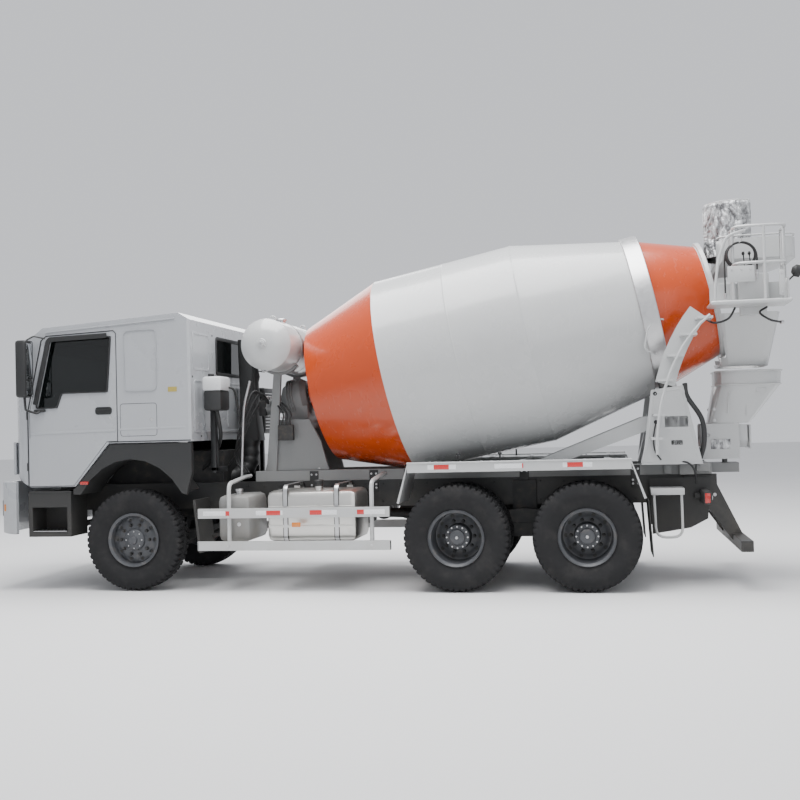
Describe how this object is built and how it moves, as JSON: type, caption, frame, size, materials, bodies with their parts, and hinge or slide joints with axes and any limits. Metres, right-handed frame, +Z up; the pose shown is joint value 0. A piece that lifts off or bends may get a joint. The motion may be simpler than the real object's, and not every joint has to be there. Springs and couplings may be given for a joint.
{
  "type": "concrete mixer truck",
  "caption": "Three-axle truck with a tilting sleeper cab, an inclined turning concrete drum on two stands, a rear feed hopper, discharge hopper, swinging chute, ladder and platform.",
  "frame": {"origin": "on the ground, under the middle of the truck's bounding box", "axes": "+X forward, +Y to the driver's left, +Z up"},
  "size_m": [8.91, 2.88, 4.11],
  "materials": {
    "white_paint": "gloss",
    "grey_paint": "satin",
    "black_paint": "satin",
    "black_plastic": "matte",
    "cast_iron": "matte",
    "aluminium": "satin",
    "tyre_rubber": "matte",
    "wheel_paint": "satin",
    "glass": "gloss",
    "seat_cloth": "matte",
    "drum_paint": "gloss"
  },
  "bodies": {
    "root": {"chassis_frame": "black_paint", "subframe": "grey_paint", "engine": "cast_iron", "front_axle": "cast_iron", "drive_axle_front": "cast_iron", "drive_axle_rear": "cast_iron", "bogie_suspension": "cast_iron", "front_bumper": "white_paint", "cab_steps": "black_plastic", "front_mudguards": "black_plastic", "fuel_tank": "aluminium", "hydraulic_tank": "grey_paint", "battery_box": "black_plastic", "side_guard_left": "white_paint", "side_guard_right": "white_paint", "rear_fender_left": "white_paint", "rear_fender_right": "white_paint", "rear_bumper": "black_paint", "front_stand": "grey_paint", "drum_gearbox": "grey_paint", "rear_stand": "white_paint", "water_tank": "white_paint", "feed_hopper": "white_paint", "discharge_hopper": "white_paint", "platform": "white_paint", "ladder": "white_paint", "air_intake": "black_plastic"},
    "cab": {"cab_shell": "white_paint", "windscreen": "glass", "dashboard": "black_plastic", "seat_left": "seat_cloth", "seat_right": "seat_cloth", "wheel_arch_left": "black_plastic", "wheel_arch_right": "black_plastic"},
    "front_panel": {"front_panel": "white_paint"},
    "steering_wheel": {"steering_wheel": "black_plastic"},
    "door_left": {"door_left": "white_paint", "door_glass_left": "glass", "mirror_left": "black_plastic"},
    "door_right": {"door_right": "white_paint", "door_glass_right": "glass", "mirror_right": "black_plastic"},
    "drum": {"drum": "drum_paint"},
    "roller_left": {"roller_left": "cast_iron"},
    "roller_right": {"roller_right": "cast_iron"},
    "chute_swivel": {"chute_swivel": "white_paint", "chute_basin": "white_paint"},
    "chute_main": {"chute_main": "white_paint"},
    "chute_flap": {"chute_flap": "white_paint"},
    "knuckle_left": {"knuckle_left": "cast_iron"},
    "knuckle_right": {"knuckle_right": "cast_iron"},
    "wheel_front_left": {"tyre_front_left": "tyre_rubber", "rim_front_left": "wheel_paint"},
    "wheel_front_right": {"tyre_front_right": "tyre_rubber", "rim_front_right": "wheel_paint"},
    "wheel_drive_front_left": {"twin_wheel_front_left": "tyre_rubber"},
    "wheel_drive_front_right": {"twin_wheel_front_right": "tyre_rubber"},
    "wheel_drive_rear_left": {"twin_wheel_rear_left": "tyre_rubber"},
    "wheel_drive_rear_right": {"twin_wheel_rear_right": "tyre_rubber"}
  },
  "joints": [
    {"name": "cab_tilt", "type": "hinge", "parent": "root", "child": "cab", "pos_m": [4.295, 0, 1], "axis": [0, 1, 0], "range_deg": [0, 50]},
    {"name": "front_panel_lift", "type": "hinge", "parent": "cab", "child": "front_panel", "pos_m": [4.34, 0, 1.69], "axis": [0, -1, 0], "range_deg": [0, 90]},
    {"name": "steering_wheel_turn", "type": "hinge", "parent": "cab", "child": "steering_wheel", "pos_m": [3.78, 0.6, 2.12791], "axis": [-0.45, 0, 0.893], "range_deg": [-576, 576]},
    {"name": "door_left_swing", "type": "hinge", "parent": "cab", "child": "door_left", "pos_m": [4.021, 1.2, 2], "axis": [0, 0, -1], "range_deg": [0, 65]},
    {"name": "door_right_swing", "type": "hinge", "parent": "cab", "child": "door_right", "pos_m": [4.021, -1.2, 2], "axis": [0, 0, 1], "range_deg": [0, 65]},
    {"name": "drum_spin", "type": "hinge", "parent": "root", "child": "drum", "pos_m": [0.825, 0, 2.16], "axis": [-0.9799, 0, 0.1994], "continuous": true},
    {"name": "roller_left_spin", "type": "hinge", "parent": "root", "child": "roller_left", "pos_m": [-3.05563, 0.55324, 2.04602], "axis": [-0.9799, 0, 0.1994], "continuous": true},
    {"name": "roller_right_spin", "type": "hinge", "parent": "root", "child": "roller_right", "pos_m": [-3.05563, -0.55324, 2.04602], "axis": [-0.9799, 0, 0.1994], "continuous": true},
    {"name": "chute_swing", "type": "hinge", "parent": "root", "child": "chute_swivel", "pos_m": [-3.69, 0, 1.33], "axis": [0, 0, 1], "range_deg": [-70, 70]},
    {"name": "chute_tilt", "type": "hinge", "parent": "chute_swivel", "child": "chute_main", "pos_m": [-3.495, 0, 1.56], "axis": [0, -1, 0], "range_deg": [0, 10]},
    {"name": "chute_flap_fold", "type": "hinge", "parent": "chute_main", "child": "chute_flap", "pos_m": [-3.945, 0, 1.41], "axis": [0, -1, 0], "range_deg": [0, 100]},
    {"name": "steer_left", "type": "hinge", "parent": "root", "child": "knuckle_left", "pos_m": [2.795, 0.78, 0.5625], "axis": [0, 0, 1], "range_deg": [-32, 32]},
    {"name": "wheel_front_left_spin", "type": "hinge", "parent": "knuckle_left", "child": "wheel_front_left", "pos_m": [2.795, 1.02, 0.5625], "axis": [0, 1, 0], "continuous": true},
    {"name": "steer_right", "type": "hinge", "parent": "root", "child": "knuckle_right", "pos_m": [2.795, -0.78, 0.5625], "axis": [0, 0, 1], "range_deg": [-32, 32]},
    {"name": "wheel_front_right_spin", "type": "hinge", "parent": "knuckle_right", "child": "wheel_front_right", "pos_m": [2.795, -1.02, 0.5625], "axis": [0, 1, 0], "continuous": true},
    {"name": "wheel_drive_front_left_spin", "type": "hinge", "parent": "root", "child": "wheel_drive_front_left", "pos_m": [-0.83, 0.915, 0.5625], "axis": [0, 1, 0], "continuous": true},
    {"name": "wheel_drive_front_right_spin", "type": "hinge", "parent": "root", "child": "wheel_drive_front_right", "pos_m": [-0.83, -0.915, 0.5625], "axis": [0, 1, 0], "continuous": true},
    {"name": "wheel_drive_rear_left_spin", "type": "hinge", "parent": "root", "child": "wheel_drive_rear_left", "pos_m": [-2.18, 0.915, 0.5625], "axis": [0, 1, 0], "continuous": true},
    {"name": "wheel_drive_rear_right_spin", "type": "hinge", "parent": "root", "child": "wheel_drive_rear_right", "pos_m": [-2.18, -0.915, 0.5625], "axis": [0, 1, 0], "continuous": true}
  ],
  "couplings": [
    {"joint": "steer_right", "follows": "steer_left", "ratio": 1},
    {"joint": "steering_wheel_turn", "follows": "steer_left", "ratio": 18},
    {"joint": "roller_left_spin", "follows": "drum_spin", "ratio": -6.4286},
    {"joint": "roller_right_spin", "follows": "drum_spin", "ratio": -6.4286}
  ]
}
